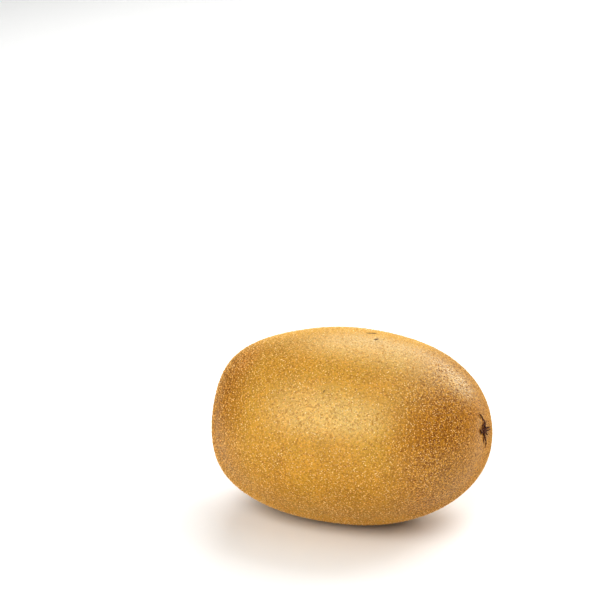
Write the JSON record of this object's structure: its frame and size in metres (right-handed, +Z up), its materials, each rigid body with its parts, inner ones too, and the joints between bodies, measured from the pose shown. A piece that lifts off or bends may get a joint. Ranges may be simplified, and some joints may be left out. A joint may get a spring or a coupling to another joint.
{
  "type": "golden kiwi fruit",
  "caption": "Whole golden kiwi fruit lying on its side: an oval, finely rough brown-gold fruit with a corky stem scar at one end and a dry blossom star at the other",
  "frame": {"origin": "on the surface that the fruit lies on, under the middle of the fruit's box", "axes": "+X along the fruit towards its blossom end, +Y across it, away from the picture's viewer, +Z up"},
  "size_m": [0.0714, 0.0522, 0.0491],
  "materials": {
    "kiwi_skin": "satin brown-gold fruit skin, closely flecked with fine tan raised spots",
    "skin_hairs": "matte pale tan stubs of dry hair",
    "stem_cork": "matte rough brown cork",
    "flower_remains": "matte dry dark brown plant fibre"
  },
  "bodies": {
    "root": {"kiwi_fruit": "kiwi_skin"}
  },
  "joints": []
}
